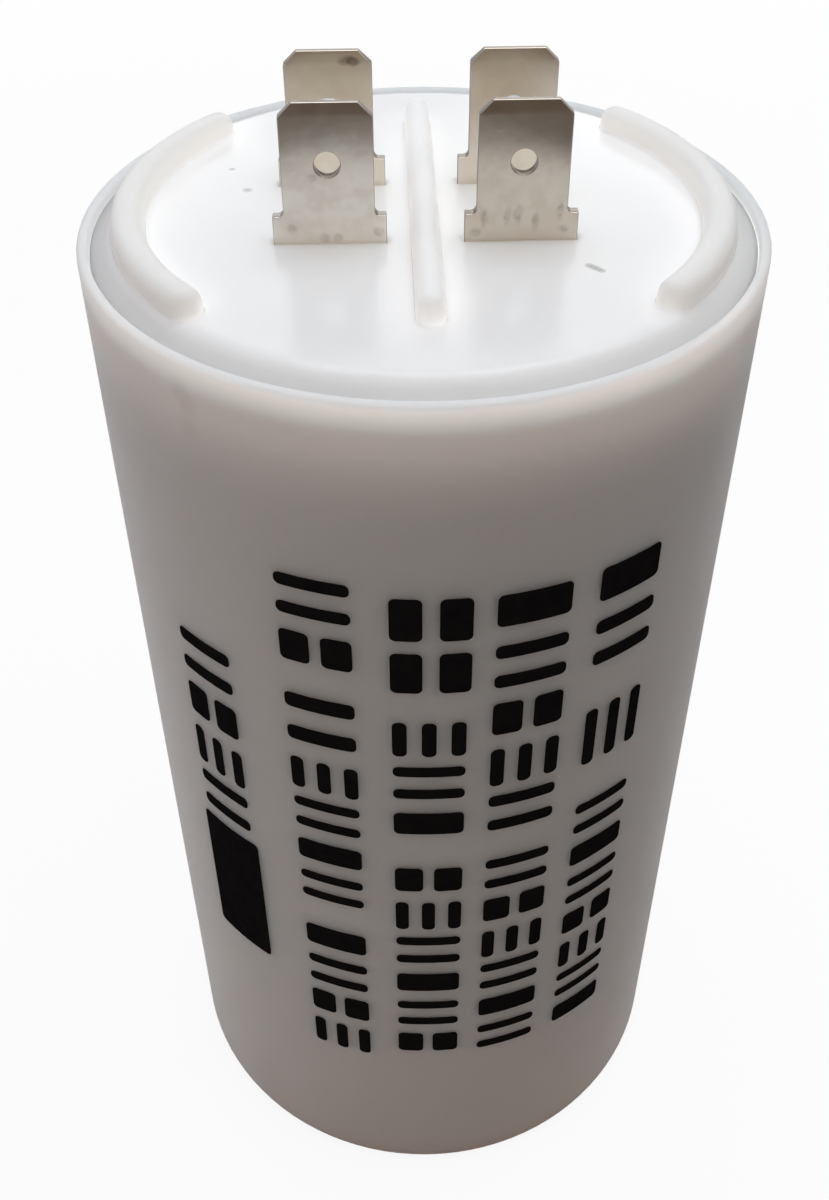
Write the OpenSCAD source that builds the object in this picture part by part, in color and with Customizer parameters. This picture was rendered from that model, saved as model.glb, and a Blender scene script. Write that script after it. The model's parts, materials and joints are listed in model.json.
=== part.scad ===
// Motor capacitor of the film type in a round plastic case, with four push-on tabs on its lid.
// The axis of the case is Z, its foot stands on Z = 0, and the rib of the lid runs along Y.

/* [Case] */
// Outside diameter of the case
case_d = 50; // [44:0.5:65]
// Height of the case from its foot to its rim
case_h = 94; // [60:0.5:130]
// Wall of the case below the lid seat
case_wall = 2; // [1.7:0.1:2.4]
// Thickness of the case floor
floor_t = 2.4; // [1.6:0.1:3.4]
// Wall of the case mouth, round the lid
mouth_wall = 0.8; // [0.6:0.05:1.1]
// Rounding of the foot edge
foot_r = 1.8; // [0.6:0.1:2.4]
// Rounding of the outer rim edge
rim_r = 0.4; // [0.2:0.05:0.6]
// Rounding of the inner rim edge
rim_inner_r = 0.3; // [0.1:0.05:0.4]

/* [Lid] */
// Width of the sloping edge between the flat field of the lid and the case mouth
edge_w = 2.5; // [1.8:0.1:3.2]
// Depth of the foot of that edge below the rim
edge_depth = 0.7; // [0.4:0.1:1.5]
// Height of the field above the rim
field_rise = 0.5; // [0.2:0.1:1.5]
// Thickness of the lid plate under the field
plate_t = 2; // [1.6:0.1:2.6]
// Thickness of the flange that sits in the case mouth
flange_t = 1.8; // [1.2:0.1:2.6]
// Clearance between the flange and the case mouth
flange_gap = 0.1; // [0.05:0.05:0.2]
// Width of a guard wall at its foot
guard_w = 2.5; // [1.8:0.1:3]
// Height of a guard wall above the field
guard_h = 1.6; // [1:0.1:3]
// How far a guard wall stands out over the sloping edge
guard_overhang = 0.8; // [0.2:0.1:1.2]
// Half of the angle that a guard wall covers, end rounding apart
guard_half_angle = 41.5; // [30:0.5:50]
// Length of the dividing rib, round ends included
rib_l = 33.5; // [28:0.5:38]
// Width of the dividing rib at its foot
rib_w = 2.1; // [1.6:0.1:2.6]
// Height of the dividing rib above the field
rib_h = 1.8; // [1:0.1:3]
// Lean of the guard and rib sides, in width lost on each side
side_draft = 0.25; // [0.1:0.05:0.35]
// Rounding along the top of the guards and the rib
wall_top_r = 0.9; // [0.2:0.05:1.1]

/* [Terminals] */
// Distance between the centres of the two terminals
terminal_pitch = 13.3; // [12:0.1:17]
// Distance between the two blades of a terminal, middle to middle
blade_pitch = 9.3; // [8:0.1:13]
// Width of a tab blade
tab_w = 6.3; // [4.8:0.1:6.4]
// Thickness of the terminal strip
strip_t = 0.8; // [0.5:0.1:0.9]
// Height of a tab above the lid
tab_h = 9.9; // [9:0.1:12]
// Width of the strip at its shoulders
shoulder_w = 7.9; // [7:0.1:8.6]
// Height of the shoulders above the lid
shoulder_h = 2; // [1:0.1:3]
// Rounding of the corner between a shoulder and its tab
shoulder_r = 0.4; // [0.1:0.1:0.6]
// Corner cut at the tip of a tab
tip_cut = 0.95; // [0.5:0.05:1.6]
// Length of the bevel that thins the tip of a tab
tip_bevel_l = 0.9; // [0.4:0.1:1.5]
// Depth of that bevel on each side of the tab
tip_bevel_d = 0.2; // [0.1:0.05:0.2]
// Diameter of the hole in a tab
tab_hole_d = 1.8; // [1.2:0.1:2.4]
// Distance of the hole below the tip
tab_hole_drop = 4.2; // [3:0.1:4.6]
// Inside radius of the bends in the strip
strip_bend_r = 0.5; // [0.3:0.1:0.8]
// Clearance of the strip in its lid slots
slot_gap = 0.1; // [0.05:0.05:0.2]

/* [Winding] */
// Space between the winding and the terminal webs, for the leads
head_room = 10; // [8:0.5:14]
// Thickness of resin between the case wall and the winding
resin_gap = 2.1; // [1:0.1:4]
// Thickness of the outer wrap
wrap_t = 0.4; // [0.2:0.1:0.8]
// Thickness of the sprayed metal on each end
spray_t = 0.7; // [0.4:0.1:1.2]
// Outside diameter of the winding core
core_d = 9; // [7:0.5:12]
// Wall of the winding core
core_wall = 1.2; // [0.8:0.1:1.6]
// Depth of resin over the winding
resin_cover = 3.2; // [1.5:0.1:5]

/* [Leads] */
// Diameter of the bare lead
wire_d = 1; // [0.6:0.1:1.2]
// Outside diameter of the lead's sleeve
sleeve_d = 2; // [1.6:0.1:2.4]
// Bend radius of the leads, at the middle of the wire
lead_bend_r = 2; // [1.6:0.1:2.4]
// Clearance between the lower lead and the case floor
lead_floor_gap = 0.5; // [0.2:0.1:2]
// Bare wire between a solder dot and the end of the sleeve
bare_gap = 0.3; // [0.1:0.1:0.4]
// Distance of a lead's solder point from the case axis, on a sprayed end
spray_joint_r = 13; // [11.5:0.5:16]
// Diameter of a solder dot at its foot
solder_d = 3.4; // [2:0.1:4]
// Height of a solder dot
solder_h = 0.9; // [0.5:0.1:1.1]

/* [Hidden] */

$fn = 96;
arc_steps = 8;   // straight pieces in a quarter round of a profile
past = 1;        // how far a cutter runs past the faces that it cuts

// Radii of the case and the lid
case_r = case_d / 2;
cavity_r = case_r - case_wall;
mouth_r = case_r - mouth_wall;
flange_r = mouth_r - flange_gap;
field_flat_r = mouth_r - edge_w;
guard_mid_r = field_flat_r + guard_overhang - guard_w / 2;
rim_outer_round = min(rim_r, mouth_wall - rim_inner_r);

// Heights of the case and the lid
field_z = case_h + field_rise;
plate_z = field_z - plate_t;
edge_foot_z = case_h - edge_depth;
seat_z = edge_foot_z - flange_t;
web_z = plate_z - strip_t;

// The sloping edge is two equal arcs, one rounded and one hollow: their angle and radius
edge_lean = 2 * atan((field_z - edge_foot_z) / (flange_r - field_flat_r));
edge_r = (flange_r - field_flat_r) / 2 / sin(edge_lean);

// Bare end of a lead, and the height that it needs to turn from upright to level
bare_l = solder_h + bare_gap;
lead_turn_h = bare_l + lead_bend_r;

// Radii and heights of the winding: it fills the case, apart from the room that the leads need
wrap_r = cavity_r - resin_gap;
film_r = wrap_r - wrap_t;
core_r = core_d / 2;
core_bore_r = core_r - core_wall;
lead_low_z = floor_t + lead_floor_gap + sleeve_d / 2;
winding_z = lead_low_z + lead_turn_h;
winding_top_z = web_z - head_room;
winding_h = winding_top_z - winding_z;
film_z = winding_z + spray_t;
film_top_z = winding_top_z - spray_t;
resin_top_z = winding_top_z + resin_cover;

// Routes of the leads in the plane of X and Z, from the sprayed end to the terminal.
// The upper crossings lie half way between the winding and the terminal webs.
lead_high_z = (winding_top_z + web_z) / 2;
left_route = [[-spray_joint_r, winding_top_z], [-spray_joint_r, lead_high_z],
              [-terminal_pitch / 2, lead_high_z], [-terminal_pitch / 2, web_z]];
right_route = [[spray_joint_r, winding_z], [spray_joint_r, lead_low_z], [0, lead_low_z],
               [0, lead_high_z], [terminal_pitch / 2, lead_high_z], [terminal_pitch / 2, web_z]];

// Points of a circular arc in a profile, from one angle to another
function arc(centre, r, from, to) =
    [for (i = [0 : arc_steps]) let (a = from + (to - from) * i / arc_steps)
        centre + r * [cos(a), sin(a)]];

// Half of the section of a guard or rib, which starts inside the lid plate: a leaning side, and a
// rounding that leaves at least a narrow flat top
function half_wall(w, h) =
    let (lean = atan(side_draft / h), sunk = plate_t / 2,
         top_r = min(wall_top_r, 0.9 * (w / 2 * cos(lean) - h * sin(lean)) / (1 - sin(lean))),
         top_x = w / 2 - (top_r + (h - top_r) * sin(lean)) / cos(lean))
    concat([[0, -sunk], [w / 2 + sunk * tan(lean), -sunk]],
           arc([top_x, h - top_r], top_r, lean, 90), [[0, h]]);

function mirrored(points) = [for (i = [len(points) - 1 : -1 : 0]) [-points[i].x, points[i].y]];
function whole_wall(w, h) = concat(half_wall(w, h), mirrored(half_wall(w, h)));

module tube(outer, inner, h) {
    difference() {
        cylinder(r = outer, h = h);
        translate([0, 0, -past]) cylinder(r = inner, h = h + 2 * past);
    }
}

// One moulded cup: floor, straight wall, and a thinner mouth that leaves a ledge for the lid
module case() {
    color("whitesmoke") rotate_extrude()
        polygon(concat(
            [[0, 0]],
            arc([case_r - foot_r, foot_r], foot_r, -90, 0),
            arc([case_r - rim_outer_round, case_h - rim_outer_round], rim_outer_round, 0, 90),
            arc([mouth_r + rim_inner_r, case_h - rim_inner_r], rim_inner_r, 90, 180),
            [[mouth_r, seat_z], [cavity_r, seat_z], [cavity_r, floor_t], [0, floor_t]]));
}

// Plate, sloping edge and flange of the lid, turned in one profile
module lid_disc() {
    skirt_r = field_flat_r - plate_t / 2;
    rotate_extrude()
        polygon(concat(
            [[0, plate_z], [skirt_r, plate_z], [skirt_r, seat_z], [flange_r, seat_z]],
            arc([flange_r, edge_foot_z + edge_r], edge_r, 270, 270 - edge_lean),
            arc([field_flat_r, field_z - edge_r], edge_r, 90 - edge_lean, 90),
            [[0, field_z]]));
}

// Curved guard wall at the edge of the field, with round ends
module guard() {
    translate([0, 0, field_z]) {
        rotate([0, 0, -guard_half_angle]) rotate_extrude(angle = 2 * guard_half_angle)
            translate([guard_mid_r, 0]) polygon(whole_wall(guard_w, guard_h));
        for (a = [-guard_half_angle, guard_half_angle])
            rotate([0, 0, a]) translate([guard_mid_r, 0, 0])
                rotate_extrude() polygon(half_wall(guard_w, guard_h));
    }
}

// Straight rib between the terminals, with round ends
module dividing_rib() {
    run = rib_l - rib_w;
    translate([0, 0, field_z]) {
        rotate([90, 0, 0]) linear_extrude(height = run, center = true) polygon(whole_wall(rib_w, rib_h));
        for (y = [-run / 2, run / 2])
            translate([0, y, 0]) rotate_extrude() polygon(half_wall(rib_w, rib_h));
    }
}

// Slot for the rear blade, with its lower inside edge cut back to clear the bend of the strip
module blade_slot() {
    inner = blade_pitch / 2 - strip_t / 2 - slot_gap;
    outer = blade_pitch / 2 + strip_t / 2 + slot_gap;
    clear = strip_bend_r + slot_gap;
    rotate([90, 0, 90]) linear_extrude(height = shoulder_w + 2 * slot_gap, center = true)
        polygon([[inner - clear, plate_z - past], [outer, plate_z - past], [outer, field_z + past],
                 [inner, field_z + past], [inner, plate_z + clear], [inner - clear, plate_z]]);
}

module lid() {
    color("white") difference() {
        union() {
            lid_disc();
            for (turn = [0, 180]) rotate([0, 0, turn]) guard();
            dividing_rib();
        }
        for (x = [-terminal_pitch / 2, terminal_pitch / 2], turn = [0, 180])
            translate([x, 0, 0]) rotate([0, 0, turn]) blade_slot();
    }
}

// Half of the folded strip seen from its edge: web, bend, blade and bevelled tip
function half_strip() =
    let (inner = blade_pitch / 2 - strip_t / 2, outer = blade_pitch / 2 + strip_t / 2,
         bend = strip_bend_r + strip_t, tip_z = field_z + tab_h, bevel_z = tip_z - tip_bevel_l)
    concat([[0, web_z]],
           arc([outer - bend, web_z + bend], bend, -90, 0),
           [[outer, bevel_z], [outer - tip_bevel_d, tip_z], [inner + tip_bevel_d, tip_z], [inner, bevel_z]],
           arc([outer - bend, web_z + bend], strip_bend_r, 0, -90),
           [[0, plate_z]]);

// Half of the strip seen from the front: shoulder, tab and cut corner
function half_front() =
    let (shoulder_z = field_z + shoulder_h, tip_z = field_z + tab_h,
         r = min(shoulder_r, (shoulder_w - tab_w) / 2))
    concat([[0, web_z], [shoulder_w / 2, web_z], [shoulder_w / 2, shoulder_z]],
           arc([tab_w / 2 + r, shoulder_z + r], r, 270, 180),
           [[tab_w / 2, tip_z - tip_cut], [tab_w / 2 - tip_cut, tip_z], [0, tip_z]]);

// Folded double-tab terminal: the strip's edge view and its front view, cut from one another
module terminal() {
    depth = blade_pitch + strip_t + 2 * past;
    color("tan") difference() {
        intersection() {
            rotate([90, 0, 90]) linear_extrude(height = shoulder_w + 2 * past, center = true)
                polygon(concat(half_strip(), mirrored(half_strip())));
            rotate([90, 0, 0]) linear_extrude(height = depth, center = true)
                polygon(concat(half_front(), mirrored(half_front())));
        }
        translate([0, 0, field_z + tab_h - tab_hole_drop]) rotate([90, 0, 0])
            cylinder(d = tab_hole_d, h = depth, center = true);
    }
}

module terminal_left() { translate([-terminal_pitch / 2, 0, 0]) terminal(); }
module terminal_right() { translate([terminal_pitch / 2, 0, 0]) terminal(); }

module film_winding() {
    color("lightgray") translate([0, 0, film_z]) tube(film_r, core_r, film_top_z - film_z);
}
module winding_core() { color("gray") translate([0, 0, winding_z]) tube(core_r, core_bore_r, winding_h); }
module outer_wrap() { color("gold") translate([0, 0, winding_z]) tube(wrap_r, film_r, winding_h); }

module end_spray() { color("dimgray") tube(film_r, core_r, spray_t); }
module end_spray_top() { translate([0, 0, film_top_z]) end_spray(); }
module end_spray_bottom() { translate([0, 0, winding_z]) end_spray(); }

// Round bar along a route of level and upright stretches, with quarter-round bends,
// from each end of which a given length is left off
module route_bar(route, d, left_off) {
    last = len(route) - 1;
    way = [for (i = [0 : last - 1]) (route[i + 1] - route[i]) / norm(route[i + 1] - route[i])];
    rotate([90, 0, 0]) {
        for (i = [0 : last - 1]) {
            start = route[i] + way[i] * (i == 0 ? left_off : lead_bend_r);
            end = route[i + 1] - way[i] * (i == last - 1 ? left_off : lead_bend_r);
            translate([start.x, start.y, 0]) rotate([0, 90, atan2(way[i].y, way[i].x)])
                cylinder(d = d, h = norm(end - start));
        }
        for (i = [1 : last - 1]) {
            centre = route[i] + lead_bend_r * (way[i] - way[i - 1]);
            turns_left = way[i - 1].x * way[i].y - way[i - 1].y * way[i].x > 0;
            first = turns_left ? -way[i] : way[i - 1];
            translate([centre.x, centre.y, 0]) rotate([0, 0, atan2(first.y, first.x)])
                rotate_extrude(angle = 90) translate([lead_bend_r, 0]) circle(d = d);
        }
    }
}

module lead_left() { color("peru") route_bar(left_route, wire_d, 0); }
module lead_right() { color("peru") route_bar(right_route, wire_d, 0); }

module sleeve(route) {
    difference() {
        route_bar(route, sleeve_d, bare_l);
        route_bar(route, wire_d, 0);
    }
}
module sleeve_left() { color("steelblue") sleeve(left_route); }
module sleeve_right() { color("firebrick") sleeve(right_route); }

// Solder dot that stands on Z = 0, round the end of a lead
module solder_dot() {
    top_r = (wire_d + solder_d) / 4;
    color("silver") difference() {
        cylinder(r1 = solder_d / 2, r2 = top_r, h = solder_h);
        translate([0, 0, -past]) cylinder(d = wire_d, h = solder_h + 2 * past);
    }
}
module solder_hanging(x, z) { translate([x, 0, z]) mirror([0, 0, 1]) solder_dot(); }
module solder_left_tab() { solder_hanging(-terminal_pitch / 2, web_z); }
module solder_right_tab() { solder_hanging(terminal_pitch / 2, web_z); }
module solder_top_spray() { translate([-spray_joint_r, 0, winding_top_z]) solder_dot(); }
module solder_bottom_spray() { solder_hanging(spray_joint_r, winding_z); }

// Resin poured round the winding and into its core, up to a level under the lid
module potting_resin() {
    color("khaki") difference() {
        translate([0, 0, floor_t]) cylinder(r = cavity_r, h = resin_top_z - floor_t);
        translate([0, 0, winding_z]) tube(wrap_r, core_bore_r, winding_h);
        for (route = [left_route, right_route]) {
            route_bar(route, wire_d, 0);
            route_bar(route, sleeve_d, bare_l);
        }
        solder_top_spray();
        solder_bottom_spray();
    }
}

case();
lid();
terminal_left();
terminal_right();
film_winding();
winding_core();
outer_wrap();
end_spray_top();
end_spray_bottom();
lead_left();
lead_right();
sleeve_left();
sleeve_right();
solder_left_tab();
solder_right_tab();
solder_top_spray();
solder_bottom_spray();
potting_resin();
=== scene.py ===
# %% [markdown]
# # A motor capacitor in a white plastic case
# The solid parts of this capacitor come from its construction model: a moulded case, a lid with four
# tabs, and the winding with its leads inside. This lesson dresses them: it sets up the camera and the
# light, gives every part the finish of its real material, softens the edges of the tabs, and lays an
# abstract print on the case. Everything is in metres, in the frame of the construction model, with Z up.

# %% Load the solid parts
import json
import math

import bmesh
import bpy
from mathutils import Matrix, Vector


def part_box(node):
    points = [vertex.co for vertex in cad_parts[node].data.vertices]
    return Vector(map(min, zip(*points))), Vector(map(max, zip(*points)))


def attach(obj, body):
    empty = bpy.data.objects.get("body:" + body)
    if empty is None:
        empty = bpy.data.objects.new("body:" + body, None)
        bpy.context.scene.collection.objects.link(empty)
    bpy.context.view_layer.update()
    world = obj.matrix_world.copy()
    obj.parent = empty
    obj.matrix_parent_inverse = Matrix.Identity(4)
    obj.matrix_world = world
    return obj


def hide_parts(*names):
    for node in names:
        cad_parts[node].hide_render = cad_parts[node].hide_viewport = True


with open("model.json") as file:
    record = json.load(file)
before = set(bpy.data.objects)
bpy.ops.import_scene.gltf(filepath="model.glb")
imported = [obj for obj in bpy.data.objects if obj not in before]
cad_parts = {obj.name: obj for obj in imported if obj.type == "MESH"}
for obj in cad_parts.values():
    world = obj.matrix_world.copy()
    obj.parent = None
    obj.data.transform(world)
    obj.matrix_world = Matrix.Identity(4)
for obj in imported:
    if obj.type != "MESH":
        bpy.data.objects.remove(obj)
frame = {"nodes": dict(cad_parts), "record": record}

MM = 0.001
nodes = frame["nodes"]
mounts = {mount["name"]: mount for mount in frame["record"]["mounts"]}
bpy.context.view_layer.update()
print("parts:", ", ".join(sorted(nodes)))

# %% [markdown]
# ## Sizes that the rest is worked out from
# Sizes are taken from the model where it gives them: the radius of the case from the clamp mount, and the
# heights from the boxes of the case, the lid and the tabs. A few that no box shows are typed again: here
# the height of the lid's flat field above the rim and the depth of its sloping edge below it, and further
# on the thickness of the strip and its holes.

# %% Sizes from the frame
FIELD_RISE = 0.5 * MM
EDGE_DEPTH = 0.7 * MM

case_r = mounts["case_band"]["dims"]["r_mm"] * MM
rim_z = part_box("case")[1].z
field_z = rim_z + FIELD_RISE
edge_foot_z = rim_z - EDGE_DEPTH
lid_low, lid_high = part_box("lid")
resin_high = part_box("potting_resin")[1]
tab_tip_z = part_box("terminal_left")[1].z
tab_front_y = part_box("terminal_left")[0].y
print(f"case radius {case_r / MM:.1f} mm, rim at {rim_z / MM:.1f} mm, tab tips at {tab_tip_z / MM:.1f} mm")

# %% [markdown]
# ## The camera
# The photograph was taken by hand from close by, so the case narrows strongly towards its foot. A long
# lens further away would draw it straighter. The focal length, the place and the tilt were found by
# fitting the outline of the case and the tabs, and they are used here as they are.

# %% Camera
FRAME_H = 1200
SENSOR = 36.0
FOCAL_PIXELS = 1364.3
CAMERA_PLACE = Vector((-0.8, -93.1, 139.1)) * MM
LOOK_DOWN = math.radians(41.57)
ROLL = math.radians(-0.32)
TURN = math.radians(-1.43)
CLIP_START = 5 * MM

camera_data = bpy.data.cameras.new("photo_camera")
camera_data.lens = FOCAL_PIXELS * SENSOR / FRAME_H
camera_data.sensor_width = SENSOR
camera_data.clip_start = CLIP_START
camera = bpy.data.objects.new("photo_camera", camera_data)
bpy.context.scene.collection.objects.link(camera)
camera.matrix_world = (Matrix.Rotation(TURN, 4, "Z") @ Matrix.Translation(CAMERA_PLACE)
                       @ Matrix.Rotation(math.pi / 2 - LOOK_DOWN, 4, "X")
                       @ Matrix.Rotation(ROLL, 4, "Z"))
bpy.context.scene.camera = camera
bpy.context.scene.view_settings.view_transform = "Standard"
print(f"lens {camera_data.lens:.2f} mm, {camera.location.length / MM:.0f} mm from the foot")

# %% [markdown]
# ## Writing shaders as sums
# A material in Blender is a graph of nodes. Placing each node by hand makes long code, so small classes
# do it. `Signal` wraps a socket, and a sum or product of signals adds the Math nodes. `Nodes` wraps a
# tree, and its method `node` adds any other node: its settings first, then its sockets. The other methods
# are short names for nodes that come up often.

# %% Signals and nodes
class Signal:
    """An output socket that can be used in sums and products."""

    def __init__(self, tree, socket):
        self.tree = tree
        self.socket = socket

    def maths(self, operation, first, second):
        return self.tree.node("Math", {"operation": operation}, {0: first, 1: second})

    def __add__(self, other):
        return self.maths("ADD", self, other)

    def __rsub__(self, other):
        return self.maths("SUBTRACT", other, self)

    def __mul__(self, other):
        return self.maths("MULTIPLY", self, other)

    __radd__ = __add__
    __rmul__ = __mul__


class Nodes:
    """A node tree. node() adds one node and gives back one of its outputs."""

    def __init__(self, tree, coordinates="Object"):
        self.tree = tree
        self.place = self.node("TexCoord", output=coordinates)

    def node(self, kind, settings=None, sockets=None, output=0):
        made = self.tree.nodes.new("ShaderNode" + kind)
        for name, value in (settings or {}).items():
            setattr(made, name, value)
        for name, value in (sockets or {}).items():
            self.feed(made.inputs[name], value)
        return Signal(self, made.outputs[output])

    def feed(self, socket, value):
        if isinstance(value, Signal):
            self.tree.links.new(value.socket, socket)
        elif socket.type == "RGBA":
            socket.default_value = (*value, 1.0)
        else:
            socket.default_value = value

    def surface(self, shader, output="Material Output"):
        """Shows a shader in place of the one that the tree began with."""
        self.feed(self.tree.nodes[output].inputs["Surface"], shader)

    def axis(self, letter, vector=None):
        return self.node("SeparateXYZ", sockets={0: vector or self.place}, output=letter)

    def size(self, value):
        return self.node("Math", {"operation": "ABSOLUTE"}, {0: value})

    def gap(self, first, second):
        return self.node("VectorMath", {"operation": "DISTANCE"}, {0: first, 1: second}, output="Value")

    def step(self, value, low, high):
        return self.node("MapRange", {"interpolation_type": "SMOOTHSTEP"},
                         {"Value": value, "From Min": low, "From Max": high})

    def mix(self, factor, first, second):
        return self.node("Mix", {"data_type": "RGBA"}, {0: factor, 6: first, 7: second}, output=2)


print("node helpers ready")

# %% [markdown]
# ## Finishes
# `Finish` is a material with the textures that the parts below share: clouds of noise, soft spots round a
# point, and a bump. Real stains have no clean outline, so `ragged` lets the places wander a little before
# a spot is drawn on them. That costs one noise for all spots, where a mask for each would need its own.

# %% Finishes
NOISE_ROUGHNESS = 0.6
SPOT_CORE = 0.3
BEVEL_SAMPLES = 6
RAGGED_SIZE = 0.9 * MM
RAGGED_REACH = 0.25 * MM
MID_NOISE = (0.5, 0.5, 0.5)
ROUND = (1, 1, 1)


class Finish(Nodes):
    """A material of its own, with the textures that the finishes below share."""

    def __init__(self, name):
        self.material = bpy.data.materials.new(name)
        self.material.use_nodes = True
        super().__init__(self.material.node_tree)
        self.shader = self.tree.nodes["Principled BSDF"]

    def set(self, **values):
        for name, value in values.items():
            self.feed(self.shader.inputs[name.replace("_", " ").title().replace("Ior", "IOR")], value)

    def stretched(self, x, y, z, place=None):
        return self.node("Mapping", sockets={"Vector": place or self.place, "Scale": (x, y, z)})

    def ragged(self):
        """Places that wander by up to a reach, so that what is drawn on them gets ragged outlines."""
        sockets = {"Vector": self.place, "Scale": 1 / RAGGED_SIZE}
        wander = self.node("TexNoise", sockets=sockets, output="Color")
        wander = self.node("VectorMath", {"operation": "SUBTRACT"}, {0: wander, 1: MID_NOISE})
        wander = self.node("VectorMath", {"operation": "SCALE"}, {0: wander, "Scale": 2 * RAGGED_REACH})
        return self.node("VectorMath", {"operation": "ADD"}, {0: self.place, 1: wander})

    def noise(self, size, detail=3.0, place=None):
        return self.node("TexNoise", sockets={"Vector": place or self.place, "Scale": 1 / size,
                                              "Detail": detail, "Roughness": NOISE_ROUGHNESS})

    def near(self, centre, radius, squeeze=ROUND, place=None):
        """1 at a centre, 0 beyond a radius. A squeeze below 1 makes the spot longer along that axis."""
        squeezed = [part * share for part, share in zip(centre, squeeze)]
        distance = self.gap(self.stretched(*squeeze, place), squeezed)
        return 1 - self.step(distance, SPOT_CORE * radius, radius)

    def bump(self, height, depth, crease=0.0):
        sockets = {"Height": height, "Distance": depth, "Strength": 1.0}
        if crease:
            sockets["Normal"] = self.node("Bevel", {"samples": BEVEL_SAMPLES}, {"Radius": crease})
        self.set(normal=self.node("Bump", sockets=sockets))

    def put_on(self, *pieces):
        for piece in pieces:
            piece.data.materials.clear()
            piece.data.materials.append(self.material)


print(f"ragged outlines wander by {RAGGED_REACH / MM:.2f} mm")

# %% [markdown]
# ## Adding meshes
# New meshes are made with bmesh, Blender's toolkit for building a mesh by operators. Each one keeps its
# place in its vertices, so every object sits at the origin. What belongs to the capacitor rides on its
# body; what only serves the picture does not.

# %% Adding meshes
def flat_patch(shape, width, height, columns=1):
    """Adds a flat rectangle round the origin, cut into columns, and gives back its vertices."""
    made = bmesh.ops.create_grid(shape, x_segments=columns, y_segments=1, size=0.5)["verts"]
    bmesh.ops.scale(shape, vec=(width, height, 1), verts=made)
    return made


def on_case(arc, height, out=0.0):
    """A point by its arc length from the front, its height, and how far it stands out from the case."""
    turn = arc / case_r
    radius = case_r + out
    return radius * math.sin(turn), -radius * math.cos(turn), height


def add_object(shape, name):
    """Turns a bmesh into an object of the scene."""
    bmesh.ops.recalc_face_normals(shape, faces=shape.faces)
    mesh = bpy.data.meshes.new(name)
    shape.to_mesh(mesh)
    shape.free()
    made = bpy.data.objects.new(name, mesh)
    bpy.context.scene.collection.objects.link(made)
    return made


def add_piece(shape, name):
    """The same for a piece of the capacitor."""
    piece = add_object(shape, name)
    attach(piece, "root")
    return piece


# %% [markdown]
# ## Ambient light
# The photograph has one broad soft light above and a bright opening behind, and little light from the
# front: the lid is bright, and the front of the case lies in a warm shade. A weak world gives that shade,
# warm in front, cool behind, and a little brighter on the left. The background stays white for the camera,
# and for mirrors and glass, through the Light Path node, so it adds no light to the case.

# %% World
AMBIENT_FRONT = (0.25, 0.21, 0.195)
AMBIENT_BACK = (0.29, 0.33, 0.395)
AMBIENT_BLEND = 0.45
SIDE_FALL = 0.74
WHITE = (1.0, 1.0, 1.0)


def seen_directly(tree):
    """1 for rays of the camera and for mirrored and refracted ones, 0 for those that carry light."""
    total = 0
    for ray in ("Is Camera Ray", "Is Glossy Ray", "Is Transmission Ray"):
        total = tree.node("LightPath", output=ray) + total
    return tree.node("Clamp", sockets={"Value": total})


world = bpy.data.worlds.new("studio")
world.use_nodes = True
bpy.context.scene.world = world
sky = Nodes(world.node_tree, "Generated")
to_back = sky.step(sky.axis("Y"), -AMBIENT_BLEND, AMBIENT_BLEND)
to_left = 1 - SIDE_FALL * sky.axis("X")
ambient = sky.mix(to_back, AMBIENT_FRONT, AMBIENT_BACK)
ambient = sky.node("VectorMath", {"operation": "SCALE"}, {0: ambient, "Scale": to_left})
sky_light = sky.node("Background", sockets={"Color": ambient})
sky_white = sky.node("Background", sockets={"Color": WHITE})
sky_mix = sky.node("MixShader", sockets={0: seen_directly(sky), 1: sky_light, 2: sky_white})
sky.surface(sky_mix, "World Output")
print("world:", world.name)

# %% [markdown]
# ## Lamps
# Area lamps give the soft light: a large one above, and windows behind that the polished lid mirrors. A
# long strip behind would do for the light alone, but the lid shows two separate bright patches, so two
# small lamps stand below it. A low one on the left lifts that side of the case.

# %% Lamps
COOL = (0.975, 0.99, 1.0)
WARM = (1.0, 0.975, 0.945)

# Place, height of the point on the axis that the lamp faces, width, height, watts and colour
LAMPS = {
    "overhead": ((0.1, 0.0, 0.62), rim_z, 0.6, 0.6, 2.85, COOL),
    "back_window": ((0.0, 0.6, 0.45), rim_z, 1.0, 0.2, 0.155, WARM),
    "back_left": ((-0.17, 0.6, 0.33), rim_z, 0.22, 0.09, 0.065, WARM),
    "back_right": ((0.15, 0.6, 0.33), rim_z, 0.22, 0.09, 0.06, WARM),
    "low_left": ((-0.45, -0.25, 0.08), 0.6 * rim_z, 0.3, 0.1, 0.13, COOL),
}


def softbox(name, place, aim_z, width, height, watts, colour):
    """A rectangular area lamp at a place, turned to face a point on the axis of the case."""
    lamp_data = bpy.data.lights.new(name, "AREA")
    lamp_data.shape = "RECTANGLE"
    lamp_data.size = width
    lamp_data.size_y = height
    lamp_data.energy = watts
    lamp_data.color = colour
    lamp = bpy.data.objects.new(name, lamp_data)
    bpy.context.scene.collection.objects.link(lamp)
    lamp.location = place
    lamp.rotation_euler = (Vector((0, 0, aim_z)) - Vector(place)).to_track_quat("-Z", "Y").to_euler()


for name, values in LAMPS.items():
    softbox(name, *values)
print("lamps:", [lamp.name for lamp in bpy.data.lights])
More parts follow.
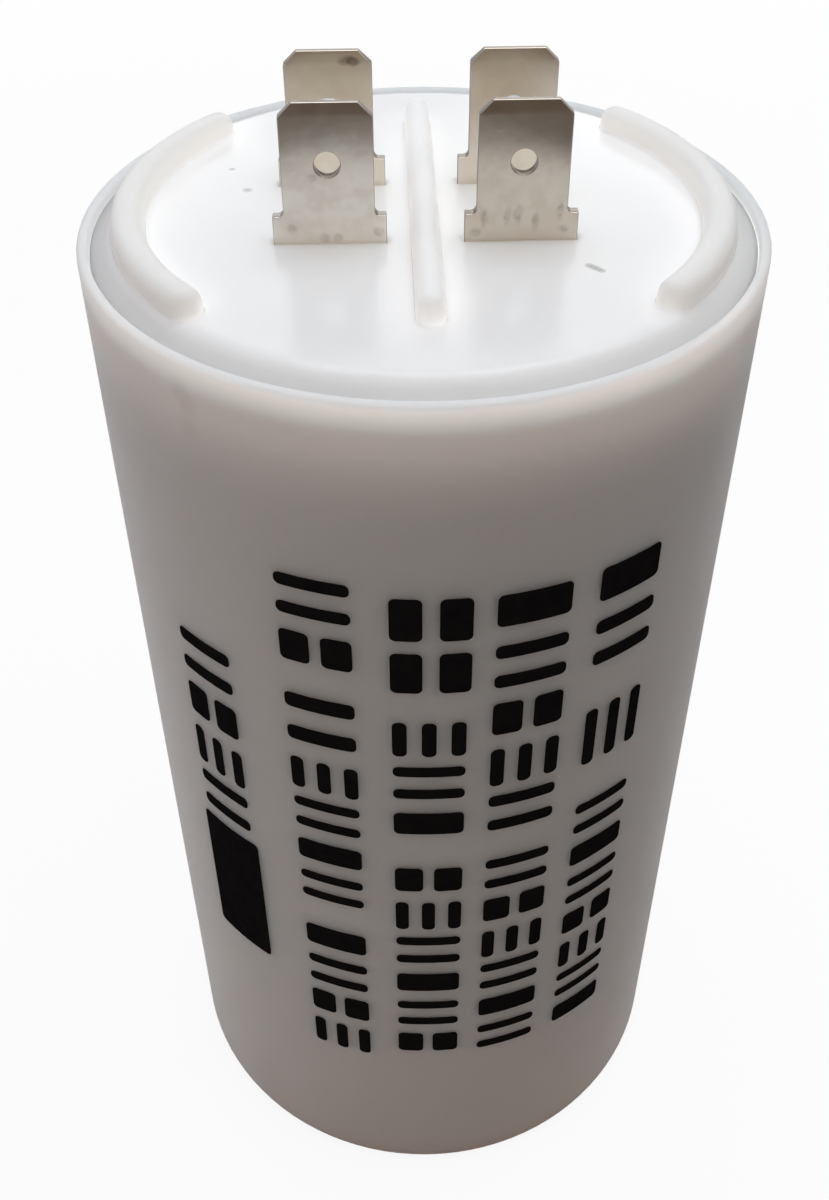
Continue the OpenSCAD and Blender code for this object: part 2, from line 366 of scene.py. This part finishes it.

# %% [markdown]
# ## Floor and dark card
# The case stands on a plain pale floor. Seen by the camera it is mostly white of its own, with a share of
# lit white near the case that takes its shadow. Further out that share goes to nothing, so no horizon shows
# against the white world. For light that bounces, the floor is a warm grey with painted shade in it: darker
# on the right and browner round the foot, so that less light comes back onto those parts of the case. A
# dark
# card stands behind the camera: the tips of the tabs mirror it, as they do in the photograph, and it keeps
# light off the front of the case.

# %% Floor and dark card
FLOOR_SIZE = 4.0
FLOOR_WHITE = 0.9
SHADOW_REACH = 0.45
# Colours of the floor for bounced light; the right one and the one round the foot are painted shade for the
# case
BOUNCE_LEFT = (0.54, 0.45, 0.385)
BOUNCE_RIGHT_SHADE = (0.24, 0.19, 0.16)
BOUNCE_BLEND = 0.1
BOUNCE_FOOT_SHADE = (0.40, 0.24, 0.165)
FOOT_REACH = 2.4 * case_r
CARD_WIDTH = 0.5
CARD_HEIGHT = 0.26
CARD_Y = -0.2
CARD_BROWN = (0.30, 0.228, 0.18)
DULL = 0.9
ORIGIN = (0, 0, 0)

shape = bmesh.new()
flat_patch(shape, FLOOR_SIZE, FLOOR_SIZE)
floor = add_object(shape, "floor")

shape = bmesh.new()
flat_patch(shape, CARD_WIDTH, CARD_HEIGHT)
bmesh.ops.rotate(shape, matrix=Matrix.Rotation(math.pi / 2, 3, "X"), verts=shape.verts)
bmesh.ops.translate(shape, vec=(0, CARD_Y, CARD_HEIGHT / 2), verts=shape.verts)
card = add_object(shape, "dark_card")
card.visible_camera = False

floor_finish = Finish("pale_floor")
# Painted shade: less bounced light on the right and round the foot of the case
shaded = floor_finish.step(floor_finish.axis("X"), -BOUNCE_BLEND, BOUNCE_BLEND)
bounce = floor_finish.mix(shaded, BOUNCE_LEFT, BOUNCE_RIGHT_SHADE)
bounce = floor_finish.mix(floor_finish.near(ORIGIN, FOOT_REACH), bounce, BOUNCE_FOOT_SHADE)
seen = seen_directly(floor_finish)
floor_finish.set(base_color=floor_finish.mix(seen, bounce, WHITE), roughness=DULL, specular_ior_level=0.0)
white_share = 1 - (1 - FLOOR_WHITE) * floor_finish.near(ORIGIN, SHADOW_REACH)
own_white = floor_finish.node("Emission", sockets={"Color": WHITE, "Strength": 1.0})
lit_white = Signal(floor_finish, floor_finish.shader.outputs[0])
floor_mix = floor_finish.node("MixShader", sockets={0: seen * white_share, 1: lit_white, 2: own_white})
floor_finish.surface(floor_mix)
floor_finish.put_on(floor)

card_finish = Finish("dark_card")
card_finish.set(base_color=CARD_BROWN, roughness=DULL, specular_ior_level=0.0)
card_finish.put_on(card)
print(f"floor {FLOOR_SIZE:.0f} m wide, card {CARD_HEIGHT:.2f} m high")

# %% [markdown]
# ## Light inside the mouth
# Real light falls through the thin lid and rim and makes the top of the wall glow from within. Cycles
# scatters light only up to the first diffuse bounce, so that light would be lost. Two thin glowing bands
# behind the wall stand for it: one in the gap round the lid, one in the space under it. They glow more on
# the right, and more under the lid, where the wall is thicker and warms the light. Like a lamp they serve
# only the picture: the camera does not see them, and only the inner side of the wall does.

# %% Light inside the mouth
GLOW_TOP = (0.96, 1.0, 0.97)
GLOW_UNDER = (1.0, 0.96, 0.96)
GLOW_FADE = 1.75 * MM
GLOW_STRENGTH = 1.95
DARK = (0.0, 0.0, 0.0)
THICK_WALL_GAIN = 2.3
RIGHT_GAIN = 0.4
GLOW_GAP = 0.05 * MM
BAND_SIDES = 96

# Bands as radius, foot and top
GLOW_BANDS = ((lid_high.x + GLOW_GAP, lid_low.z + GLOW_GAP, edge_foot_z - GLOW_GAP),
              (resin_high.x - GLOW_GAP, resin_high.z + GLOW_GAP, lid_low.z - GLOW_GAP))

shape = bmesh.new()
for radius, low, high in GLOW_BANDS:
    made = bmesh.ops.create_cone(shape, cap_ends=False, segments=BAND_SIDES, radius1=radius, radius2=radius,
                                 depth=high - low)["verts"]
    bmesh.ops.translate(shape, vec=(0, 0, (low + high) / 2), verts=made)
bands = add_object(shape, "glow_bands")
bands.visible_camera = False

glow_finish = Finish("glow_bands")
depth = (rim_z - glow_finish.axis("Z")) * (1 / GLOW_FADE)
fading = glow_finish.node("Math", {"operation": "POWER"}, {0: 1 / math.e, 1: depth})
below_lid = 1 - glow_finish.step(glow_finish.axis("Z"), lid_low.z - GLOW_GAP, lid_low.z + GLOW_GAP)
outward = 1 - glow_finish.node("NewGeometry", output="Backfacing")
full = (1 + THICK_WALL_GAIN) * (1 + RIGHT_GAIN)
to_right = 1 + RIGHT_GAIN * glow_finish.step(glow_finish.axis("X"), 0, case_r)
share = fading * outward * (1 + THICK_WALL_GAIN * below_lid) * to_right * (1 / full)
tint = glow_finish.mix(below_lid, GLOW_TOP, GLOW_UNDER)
glow_colour = glow_finish.mix(share, DARK, tint)
glow = glow_finish.node("Emission", sockets={"Color": glow_colour, "Strength": GLOW_STRENGTH * full})
glow_finish.surface(glow)
glow_finish.put_on(bands)
print("glow bands:", len(GLOW_BANDS))

# %% [markdown]
# ## Case plastic
# White moulded plastic with a satin skin. Light gets some millimetres into it, which is why the wall
# glows under the lit rim. Subsurface scattering does this: the scale is how far light wanders, and red
# wanders furthest, so the glow ends warm. A faint scuff lies under the rim on the left.

# %% Case plastic
CASE_DARK = (0.745, 0.73, 0.72)
CASE_LIGHT = (0.785, 0.77, 0.76)
CASE_CLOUD = 14 * MM
CASE_SCATTER = (1.0, 0.81, 0.75)
CASE_SCATTER_DEPTH = 7 * MM
CASE_SATIN = 5 * MM
CASE_GRAIN = 0.35 * MM
CASE_BUMP = 0.004 * MM
BUMP_DETAIL = 2.0

# The scuff, as points by arc length and height
SCUFF = ((-17.7, 91.9), (-17.3, 91.3), (-16.9, 90.7), (-17.2, 89.0))
SCUFF_R = 1.2 * MM
SCUFF_SHARE = 0.12
SCUFF_GREY = (0.45, 0.42, 0.40)


def case_plastic():
    finish = Finish("case_plastic")
    colour = finish.mix(finish.noise(CASE_CLOUD), CASE_DARK, CASE_LIGHT)
    ragged = finish.ragged()
    for arc, height in SCUFF:
        rubbed = SCUFF_SHARE * finish.near(on_case(arc * MM, height * MM), SCUFF_R, place=ragged)
        colour = finish.mix(rubbed, colour, SCUFF_GREY)
    finish.set(base_color=colour, roughness=0.38 + 0.16 * finish.noise(CASE_SATIN), specular_ior_level=0.06,
               subsurface_weight=1.0, subsurface_radius=CASE_SCATTER, subsurface_scale=CASE_SCATTER_DEPTH)
    finish.bump(finish.noise(CASE_GRAIN, BUMP_DETAIL), CASE_BUMP)
    return finish


case_plastic().put_on(nodes["case"])
print("case: satin white plastic")

# %% [markdown]
# ## Lid plastic
# The lid is polished: its flat field mirrors the tabs, the guards and the bright opening behind. The rib
# and the guards are softer, and so is the sloping edge, so a mask takes the height of the field. The
# polish is a clear coat over a dull body, because the weight of a coat may follow a mask. Field, guards and
# rib are one plastic: the guards are painted a little darker and warmer as painted shade, and the rib a
# little whiter as painted light. The hollow beside the rim is painted a little grey as painted shade, and a
# few specks of dirt lie on the field, each one a soft ball of darker colour. Moulded walls have no sharp
# foot: a Bevel node rounds the shading there without any new faces.

# %% Lid plastic
FIELD_DARK = (0.80, 0.803, 0.803)
FIELD_LIGHT = (0.835, 0.838, 0.837)
# The guards' colour is painted shade and the rib's painted light; field, guards and rib are one plastic
GUARD_SHADE_WHITE = (0.79, 0.785, 0.765)
RIB_LIGHT_WHITE = (0.835, 0.84, 0.835)
RIB_REACH = 2.5 * MM
RIB_FADE = 1.2
LID_CLOUD = 12 * MM
LID_SATIN = 6 * MM
LID_GRAIN = 0.5 * MM
LID_BUMP = 0.002 * MM
LID_SCATTER = (1.0, 0.9, 0.82)
LID_SCATTER_DEPTH = 4 * MM
CREASE_R = 0.6 * MM

# Heights above or below the field where the polish ends, and where the painted shade of the hollow does
FIELD_GAP = 0.02 * MM
WALL_FADE = 0.25 * MM
SLOPE_FADE = 0.2 * MM
SHADE_BELOW_EDGE = 0.3 * MM
SHADE_BELOW_FIELD = 0.1 * MM
HOLLOW_SHADE = (0.565, 0.545, 0.525)
HOLLOW_SHADE_SHARE = 0.7

# Specks of dirt as ((x, y), radius)
SPECKS = (((-13.0, 3.7), 0.5), ((-14.4, 7.4), 0.35), ((11.0, -8.9), 0.45), ((11.25, -9.15), 0.45),
          ((11.5, -9.4), 0.45), ((11.75, -9.65), 0.4))
DIRT = (0.16, 0.16, 0.15)
DIRT_SHARE = 0.45


def lid_plastic():
    finish = Finish("lid_plastic")
    height = finish.axis("Z")
    raised = finish.step(height, field_z + FIELD_GAP, field_z + WALL_FADE)
    polished = finish.step(height, field_z - SLOPE_FADE, field_z - FIELD_GAP) * (1 - raised)
    # Painted shade in the hollow beside the rim
    hollow = 1 - finish.step(height, edge_foot_z - SHADE_BELOW_EDGE, field_z - SHADE_BELOW_FIELD)
    rib = 1 - finish.step(finish.size(finish.axis("X")), RIB_REACH, RIB_FADE * RIB_REACH)
    colour = finish.mix(finish.noise(LID_CLOUD), FIELD_DARK, FIELD_LIGHT)
    # Painted shade on the guards and painted light on the rib
    colour = finish.mix(raised, colour, finish.mix(rib, GUARD_SHADE_WHITE, RIB_LIGHT_WHITE))
    colour = finish.mix(HOLLOW_SHADE_SHARE * hollow, colour, HOLLOW_SHADE)
    for (x, y), radius in SPECKS:
        dirt = DIRT_SHARE * finish.near((x * MM, y * MM, field_z), radius * MM)
        colour = finish.mix(dirt, colour, DIRT)
    finish.set(base_color=colour, roughness=0.45 + 0.1 * finish.noise(LID_SATIN), specular_ior_level=0.15,
               coat_weight=polished, coat_roughness=0.17,
               subsurface_weight=1.0, subsurface_radius=LID_SCATTER, subsurface_scale=LID_SCATTER_DEPTH)
    finish.shader.subsurface_method = "BURLEY"
    finish.bump(finish.noise(LID_GRAIN, BUMP_DETAIL), LID_BUMP, CREASE_R)
    return finish


lid_plastic().put_on(nodes["lid"])
print(f"lid: polished field with {len(SPECKS)} specks")

# %% [markdown]
# ## Tabs
# The tabs are stamped from tinned strip, and stamping rounds their edges a little. The solid part has
# sharp edges, so a copy of its mesh gets a fine bevel and is shown in its place. Merged doubles and
# dissolved flat faces come first: a bevel only works on a mesh whose faces share their vertices. The
# Weighted Normal modifier keeps the flat faces looking flat beside the rounded edges.

# %% Tabs with rounded edges
EDGE_R = 0.07 * MM
SHARP = math.radians(30)
FLAT = math.radians(1)
SAME_PLACE = 0.001 * MM


def rounded_copy(node, name):
    """A copy of a solid part with small rounded edges, shown in its place."""
    shape = bmesh.new()
    shape.from_mesh(nodes[node].data)
    shape.transform(nodes[node].matrix_world)
    bmesh.ops.remove_doubles(shape, verts=shape.verts, dist=SAME_PLACE)
    bmesh.ops.dissolve_limit(shape, angle_limit=FLAT, verts=shape.verts, edges=shape.edges)
    sharp = [edge for edge in shape.edges if edge.is_manifold and edge.calc_face_angle() > SHARP]
    bmesh.ops.bevel(shape, geom=sharp, offset=EDGE_R, segments=2, profile=0.5, affect="EDGES",
                    clamp_overlap=True, material=-1)
    piece = add_piece(shape, name)
    piece.data.shade_smooth()
    piece.modifiers.new("flat_faces", "WEIGHTED_NORMAL")
    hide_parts(node)
    return piece


tabs = []
for side in ("left", "right"):
    tabs.append(rounded_copy(f"terminal_{side}", f"tab_strip_{side}"))
print("tabs:", [(piece.name, len(piece.data.polygons)) for piece in tabs])

# %% [markdown]
# ## Tin plate
# Dull tin with the brown cast of a part that has lain about: cloudy patches, a grey film higher up, and
# brown tarnish that gathers at the tips. The foot of the front tabs is painted brighter, as painted light
# against the shade where they stand on the lid. The rear tabs are paler, and the front right one is
# browner.
# Each of these is a layer: a mask says where it lies, and a table holds the share it takes and its colour.
# A painted image would also do, but it blurs when the camera comes close.

# %% Colours of the tin
TIN_DARK = (0.715, 0.65, 0.575)
TIN_LIGHT = (0.79, 0.755, 0.68)
TIN_CLOUD = 1.1 * MM
CLOUD_STEP = (0.3, 0.7)
REAR_DARK = (0.82, 0.74, 0.62)
REAR_LIGHT = (0.96, 0.89, 0.77)
REAR_SHARE = 0.7
SIDE_BLEND = 1 * MM
FOOT_TOP = 2.5 * MM

# Zones as the depths below the tip where they begin and where they are full
FILM_ZONE = (4.5 * MM, 2.3 * MM)
TARNISH_ZONE = (2.6 * MM, 0.2 * MM)

# The film is thicker on the right, and the tarnish at the rear
FILM_SHARE = 0.3
FILM_RIGHT_GAIN = 0.25
TARNISH_SHARE = 0.1
TARNISH_REAR_GAIN = 0.15

# Layers as share and colour. A share of 1 leaves it to the mask
LAYERS = {
    "painted_light_foot": (0.5, (0.95, 0.89, 0.80)),
    "brown_right": (0.3, (0.56, 0.46, 0.33)),
    "grey_film": (1.0, (0.40, 0.40, 0.34)),
    "tarnish": (1.0, (0.33, 0.24, 0.155)),
    "dent": (0.4, (0.25, 0.22, 0.19)),
    "scratch": (0.5, (0.30, 0.25, 0.18)),
    "stain": (0.75, (0.14, 0.08, 0.05)),
    "cut_edge": (0.8, (0.22, 0.20, 0.18)),
    "cut_side": (0.7, (0.08, 0.075, 0.07)),
    "hole": (0.5, (0.16, 0.13, 0.105)),
}


def layer(finish, name, mask, colour):
    """Lays a layer over a colour, where its mask is."""
    share, tone = LAYERS[name]
    return finish.mix(share * mask, colour, tone)


def below_tip(finish, zone):
    """0 below a zone of the tab, 1 above it."""
    begins, full_at = zone
    return finish.step(finish.axis("Z"), tab_tip_z - begins, tab_tip_z - full_at)


def tin_colours(finish, patches, rear):
    """The broad colours of the tin, with painted light at the foot of the front tabs."""
    clouds = finish.step(finish.noise(TIN_CLOUD, 1.0), *CLOUD_STEP)
    right = finish.step(finish.axis("X"), -SIDE_BLEND, SIDE_BLEND)
    foot = 1 - finish.step(finish.axis("Z"), field_z, field_z + FOOT_TOP)
    tarnish = below_tip(finish, TARNISH_ZONE)
    film = below_tip(finish, FILM_ZONE) * (FILM_SHARE + FILM_RIGHT_GAIN * right * (1 - tarnish))
    colour = finish.mix(clouds, TIN_DARK, TIN_LIGHT)
    colour = finish.mix(REAR_SHARE * rear, colour, finish.mix(patches, REAR_DARK, REAR_LIGHT))
    # Painted light: the foot of the front tabs is made brighter against the shade at the lid
    colour = layer(finish, "painted_light_foot", foot * (1 - rear), colour)
    colour = layer(finish, "brown_right", right * (1 - rear), colour)
    colour = layer(finish, "grey_film", film * (1 - rear), colour)
    return layer(finish, "tarnish", tarnish * (TARNISH_SHARE + TARNISH_REAR_GAIN * rear), colour)


print("layers on the tin:", len(LAYERS))

# %% [markdown]
# ## Marks and bare edges of the tabs
# Dents show where the strip was held, scratches where connectors slid on, and one stain lies at a rear tip.
# Each is a soft spot with a ragged outline and a little grain in it. The strip is tinned before it is
# stamped, so its cut edges and the walls of its holes are bare and dark. The edges are found by their
# normal, which has no share along Y, and the holes by the distance from their middle.

# %% Marks and bare edges
STRIP_THICK = 0.8 * MM
HOLE_R = 0.9 * MM
HOLE_DROP = 4.2 * MM
HOLE_FADE = 1.1
MARK_GRAIN = 0.4 * MM
GRAIN_STEP = (0.35, 0.65)
CUT_STEP = (0.4, 0.95)
SIDE_STEP = (0.3, 0.7)
TIN_PATCH = 1.8 * MM
TIN_GRAIN = 0.7 * MM
TIN_BUMP = 0.006 * MM
TALL = (1, 1, 0.4)
WIDE = (0.4, 1, 1)

tab_x = (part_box("terminal_right")[0].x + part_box("terminal_right")[1].x) / 2
tab_rear_y = -tab_front_y - STRIP_THICK

# Marks as (x, z), with z from the field on the front face and from the tip on the rear one
DENTS = ((-9.3, 1.1), (-3.3, 0.8), (-7.0, 0.4), (-6.1, 0.4), (-7.7, 4.8), (3.5, 0.7), (9.6, 0.8))
SCRATCHES = ((6.4, 1.9), (5.65, 1.8), (4.05, 1.7), (7.6, 1.4), (9.3, 2.2))
STAINS = ((-5.0, -0.7),)

# Radius, squeeze, share that shows between the grains, y, height that z counts from, and the marks
MARKS = {
    "dent": (0.5 * MM, ROUND, 0.5, tab_front_y, field_z, DENTS),
    "scratch": (0.4 * MM, TALL, 0.4, tab_front_y, field_z, SCRATCHES),
    "stain": (0.45 * MM, WIDE, 0.7, tab_rear_y, tab_tip_z, STAINS),
}


def tin_marks(finish, colour):
    """The dents, scratches and stains."""
    ragged = finish.ragged()
    grain = finish.step(finish.noise(MARK_GRAIN), *GRAIN_STEP)
    for name, (radius, squeeze, least, y, from_z, marks) in MARKS.items():
        speckled = least + (1 - least) * grain
        for x, z in marks:
            spot = finish.near((x * MM, y, from_z + z * MM), radius, squeeze, ragged)
            colour = layer(finish, name, spot * speckled, colour)
    return colour


def bare_edges(finish, colour):
    """The cut edges and the walls of the holes."""
    normal = finish.node("TexCoord", output="Normal")
    cut = 1 - finish.step(finish.size(finish.axis("Y", normal)), *CUT_STEP)
    side = finish.step(finish.size(finish.axis("X", normal)), *SIDE_STEP)
    level = finish.node("CombineXYZ", sockets={"X": finish.size(finish.axis("X")), "Z": finish.axis("Z")})
    from_middle = finish.gap(level, (tab_x, 0, tab_tip_z - HOLE_DROP))
    hole = 1 - finish.step(from_middle, HOLE_R, HOLE_FADE * HOLE_R)
    colour = layer(finish, "cut_edge", cut, colour)
    colour = layer(finish, "cut_side", side, colour)
    return layer(finish, "hole", hole, colour)


def tinned_strip():
    finish = Finish("tinned_strip")
    patches = finish.noise(TIN_PATCH, 6.0)
    rear = finish.step(finish.axis("Y"), -SIDE_BLEND, SIDE_BLEND)
    colour = tin_colours(finish, patches, rear)
    colour = tin_marks(finish, colour)
    colour = bare_edges(finish, colour)
    finish.set(base_color=colour, metallic=1.0, roughness=0.2 + 0.1 * patches + 0.08 * rear)
    finish.bump(finish.noise(TIN_GRAIN), TIN_BUMP)
    return finish


tinned_strip().put_on(*tabs, nodes["terminal_left"], nodes["terminal_right"])
print(f"tin plate with {len(DENTS)} dents and {len(SCRATCHES)} scratches")

# %% [markdown]
# ## Print, drawn flat
# The lines that run up the case are black ink. Here they are an abstract pattern of bars, squares and
# blocks that says nothing: each line is a row of cells, and each cell takes the next shape of a short
# list. The patches are drawn flat first, as arc length across and height up, because rectangles are easy
# there. An image texture would be quicker, but it blurs when the camera comes close.

# %% Flat patches
INK_STEP = 0.9 * MM
LINE_W = 5.5 * MM
CELL = 3.8 * MM
CELL_GAP = 1.2 * MM
WORD_SHIFT = 2

# Shapes of a cell, as (from, to) along the line and (from, to) across it, in shares of the cell
BARS = ((0.0, 0.3, 0.0, 1.0), (0.7, 1.0, 0.0, 1.0))
ROWS = ((0.0, 1.0, 0.0, 0.2), (0.0, 1.0, 0.4, 0.6), (0.0, 1.0, 0.8, 1.0))
BLOCK = ((0.15, 0.85, 0.0, 1.0),)
SQUARES = ((0.1, 0.9, 0.0, 0.42), (0.1, 0.9, 0.58, 1.0))
KINDS = (BARS, ROWS, SQUARES, BARS, BLOCK)


def ink_patch(shape, arc_low, arc_high, low, high):
    """Adds one flat rectangle, with enough columns to be bent later."""
    columns = max(1, round((arc_high - arc_low) / INK_STEP))
    made = flat_patch(shape, arc_high - arc_low, high - low, columns)
    bmesh.ops.translate(shape, vec=((arc_low + arc_high) / 2, (low + high) / 2, 0), verts=made)


def ink_word(shape, middle, low, high, first):
    """Fills a word with cells, and each cell with the next kind of shape."""
    cells = max(1, round((high - low + CELL_GAP) / (CELL + CELL_GAP)))
    pitch = (high - low + CELL_GAP) / cells
    length = pitch - CELL_GAP
    across = middle - LINE_W / 2
    for cell in range(cells):
        start = low + cell * pitch
        for from_u, to_u, from_v, to_v in KINDS[(first + cell) % len(KINDS)]:
            ink_patch(shape, across + from_v * LINE_W, across + to_v * LINE_W,
                      start + from_u * length, start + to_u * length)


print("kinds of cell:", len(KINDS))

# %% [markdown]
# ## Print, wrapped on the case
# The corners of the flat patches are rounded, the patches get a thickness, and at last every vertex is
# wrapped on the case. The ink starts a little under the skin, so that no gap shows where its flat columns
# cut the round wall.

# %% Printed lines
INK_RISE = 0.02 * MM
INK_SUNK = 0.03 * MM
INK_CORNER = 0.45 * MM
INK_DARK = (0.006, 0.006, 0.007)
INK_LIGHT = (0.018, 0.017, 0.017)
INK_WEAR = 1.2 * MM

# Lines as the arc length of their middle, then the words of each as (from, to) in height
LINES = {
    "print_line_1": (-19.0, ((48.5, 69.0),)),
    "print_line_2": (-8.6, ((20.5, 40.0), (43.5, 61.0), (63.0, 68.0), (71.0, 79.5))),
    "print_line_3": (-0.4, ((21.5, 50.0), (53.5, 66.7))),
    "print_line_4": (7.0, ((21.5, 50.0), (53.8, 79.2))),
    "print_line_5": (14.8, ((21.0, 53.5), (58.4, 64.5), (69.3, 79.3))),
}

# A block and a field of four squares, as (from, to) in arc length and (from, to) in height
PRINT_BLOCK = (-22.3, -15.7, 31.0, 47.0)
PRINT_SQUARES = (-3.2, 2.6, 69.8, 78.7)


def wrapped_ink(shape, name):
    """Rounds the corners of flat patches, makes slabs of them and wraps these on the case."""
    corners = [vertex for vertex in shape.verts if len(vertex.link_edges) == 2]
    bmesh.ops.bevel(shape, geom=corners, offset=INK_CORNER, segments=4, profile=0.5, affect="VERTICES",
                    material=-1)
    raised = bmesh.ops.extrude_face_region(shape, geom=shape.faces[:])["geom"]
    top = [item for item in raised if isinstance(item, bmesh.types.BMVert)]
    bmesh.ops.translate(shape, vec=(0, 0, INK_RISE + INK_SUNK), verts=top)
    for vertex in shape.verts:
        arc, height, rise = vertex.co
        vertex.co = on_case(arc, height, rise - INK_SUNK)
    return add_piece(shape, name)


def print_ink():
    finish = Finish("print_ink")
    worn = finish.noise(INK_WEAR)
    finish.set(base_color=finish.mix(worn, INK_DARK, INK_LIGHT), roughness=0.5 + 0.2 * worn,
               specular_ior_level=0.0)
    return finish


ink_pieces = []
for number, (name, (middle, words)) in enumerate(LINES.items()):
    shape = bmesh.new()
    for place, (low, high) in enumerate(words):
        ink_word(shape, middle * MM, low * MM, high * MM, number + WORD_SHIFT * place)
    ink_pieces.append(wrapped_ink(shape, name))

shape = bmesh.new()
ink_patch(shape, *(edge * MM for edge in PRINT_BLOCK))
ink_pieces.append(wrapped_ink(shape, "print_block"))

shape = bmesh.new()
left, right, low, high = (edge * MM for edge in PRINT_SQUARES)
width = (right - left - CELL_GAP) / 2
height = (high - low - CELL_GAP) / 2
for from_arc in (left, left + width + CELL_GAP):
    for from_z in (low, low + height + CELL_GAP):
        ink_patch(shape, from_arc, from_arc + width, from_z, from_z + height)
ink_pieces.append(wrapped_ink(shape, "print_squares"))

print_ink().put_on(*ink_pieces)
print("print:", [(piece.name, len(piece.data.polygons)) for piece in ink_pieces])

# %% [markdown]
# ## The parts inside
# Nothing of these shows while the lid is on, but a cut-away or an exploded view needs them. The film is
# wound, so its colour runs in rings round the axis. The wrap is a clear amber tape with streaks along its
# winding. The sprayed ends are rough metal, and the resin is cloudy. The plainer ones differ only in their
# colours and their grain, so one function makes them all from a table.

# %% Finishes of the inner parts
FILM_DARK = (0.55, 0.55, 0.58)
FILM_LIGHT = (0.78, 0.78, 0.80)
FILM_RINGS = 500.0
WRAP_DARK = (0.62, 0.52, 0.24)
WRAP_LIGHT = (0.80, 0.73, 0.46)
WRAP_STREAK = 3 * MM
CLOUD_ROUGHNESS = 0.15

# Parts, then dark and light colour, grain, roughness, metallic and depth of the bump
CLOUDY = {
    "core_plastic": (("winding_core",), (0.40, 0.40, 0.41), (0.48, 0.48, 0.48), 4 * MM, 0.5, 0.0, 0.0),
    "sprayed_metal": (("end_spray_top", "end_spray_bottom"),
                      (0.36, 0.37, 0.39), (0.54, 0.55, 0.57), 0.5 * MM, 0.55, 1.0, 0.08 * MM),
    "lead_wire": (("lead_left", "lead_right"),
                  (0.66, 0.40, 0.22), (0.78, 0.52, 0.32), 1.5 * MM, 0.2, 1.0, 0.0),
    "sleeve_blue": (("sleeve_left",), (0.08, 0.19, 0.45), (0.12, 0.25, 0.55), 3 * MM, 0.35, 0.0, 0.0),
    "sleeve_red": (("sleeve_right",), (0.48, 0.06, 0.06), (0.60, 0.10, 0.09), 3 * MM, 0.35, 0.0, 0.0),
    "solder": (("solder_left_tab", "solder_right_tab", "solder_top_spray", "solder_bottom_spray"),
               (0.62, 0.62, 0.64), (0.76, 0.76, 0.78), 0.8 * MM, 0.15, 1.0, 0.03 * MM),
    "resin": (("potting_resin",), (0.70, 0.62, 0.41), (0.80, 0.74, 0.55), 9 * MM, 0.25, 0.0, 0.05 * MM),
}


def wound_film():
    finish = Finish("wound_film")
    rings = finish.node("TexWave", {"wave_type": "RINGS", "rings_direction": "Z"},
                        {"Vector": finish.place, "Scale": FILM_RINGS, "Distortion": 0.6, "Detail": 2.0})
    finish.set(base_color=finish.mix(rings, FILM_DARK, FILM_LIGHT), metallic=0.6,
               roughness=0.24 + 0.12 * rings)
    return finish


def wrap_film():
    finish = Finish("wrap_film")
    streaks = finish.noise(WRAP_STREAK, place=finish.stretched(0.2, 0.2, 2.0))
    finish.set(base_color=finish.mix(streaks, WRAP_DARK, WRAP_LIGHT), roughness=0.18 + 0.12 * streaks,
               coat_weight=0.3)
    return finish


def cloudy(name, dark, light, grain, roughness, metallic, depth):
    """A finish of two colours that run into each other, with a bump where a depth is given."""
    finish = Finish(name)
    cloud = finish.noise(grain)
    finish.set(base_color=finish.mix(cloud, dark, light), metallic=metallic,
               roughness=roughness + CLOUD_ROUGHNESS * cloud)
    if depth:
        finish.bump(cloud, depth)
    return finish


wound_film().put_on(nodes["film_winding"])
wrap_film().put_on(nodes["outer_wrap"])
for name, (parts, *values) in CLOUDY.items():
    cloudy(name, *values).put_on(*(nodes[part] for part in parts))
print("finishes:", len(bpy.data.materials))
